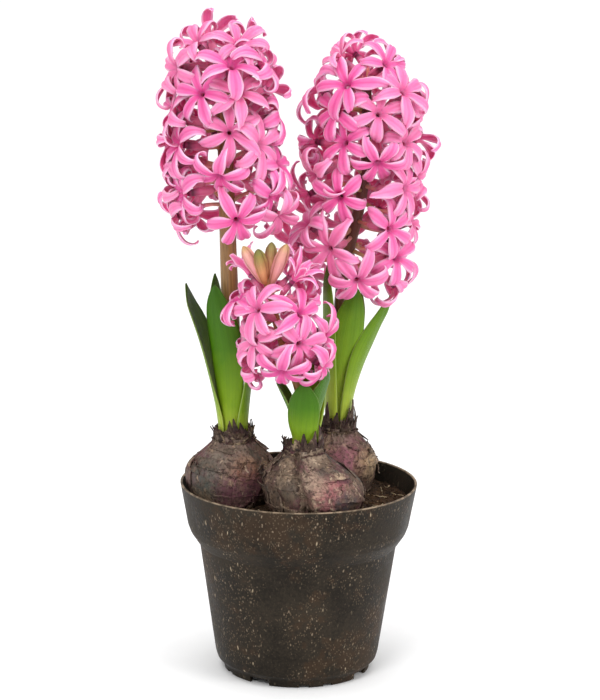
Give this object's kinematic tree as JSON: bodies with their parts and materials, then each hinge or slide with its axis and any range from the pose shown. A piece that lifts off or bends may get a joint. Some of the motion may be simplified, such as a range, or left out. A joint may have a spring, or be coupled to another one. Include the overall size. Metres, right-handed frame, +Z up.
{
  "type": "potted hyacinth plant",
  "caption": "Potted hyacinth: pink-flowered spikes over strap leaves, growing from papery bulbs half sunk in the soil of a round tapered nursery pot.",
  "frame": {"origin": "middle of the pot's base pad, on the surface that the pot stands on", "axes": "+Z up along the pot's axis; -Y is the front, with the shortest plant nearest to it; +X is to the right seen from the front"},
  "size_m": [0.1273, 0.1196, 0.3266],
  "materials": {
    "pot_composite": "satin",
    "potting_soil": "matte",
    "bulb_skin": "matte",
    "leaf": "satin",
    "flower_stalk": "satin",
    "petal": "satin",
    "bud": "satin"
  },
  "bodies": {
    "root": {"centre_bud_back": "bud", "centre_bud_front": "bud", "centre_bud_left": "bud", "centre_bud_right": "bud", "centre_bulb": "bulb_skin", "centre_florets_tier_1": "petal", "centre_florets_tier_2": "petal", "centre_florets_tier_3": "petal", "centre_leaf_inner_left": "leaf", "centre_leaf_inner_right": "leaf", "centre_leaf_outer_back": "leaf", "centre_leaf_outer_front": "leaf", "centre_scape": "flower_stalk", "left_bulb": "bulb_skin", "left_florets_crown": "petal", "left_florets_tier_1": "petal", "left_florets_tier_2": "petal", "left_florets_tier_3": "petal", "left_florets_tier_4": "petal", "left_florets_tier_5": "petal", "left_florets_tier_6": "petal", "left_florets_tier_7": "petal", "left_leaf_inner_back": "leaf", "left_leaf_inner_front": "leaf", "left_leaf_outer_left": "leaf", "left_leaf_outer_right": "leaf", "left_scape": "flower_stalk", "pot": "pot_composite", "right_bulb": "bulb_skin", "right_florets_crown": "petal", "right_florets_tier_1": "petal", "right_florets_tier_2": "petal", "right_florets_tier_3": "petal", "right_florets_tier_4": "petal", "right_florets_tier_5": "petal", "right_florets_tier_6": "petal", "right_florets_tier_7": "petal", "right_florets_tier_8": "petal", "right_leaf_inner_back": "leaf", "right_leaf_inner_front": "leaf", "right_leaf_outer_left": "leaf", "right_leaf_outer_right": "leaf", "right_scape": "flower_stalk", "soil": "potting_soil"}
  },
  "joints": []
}
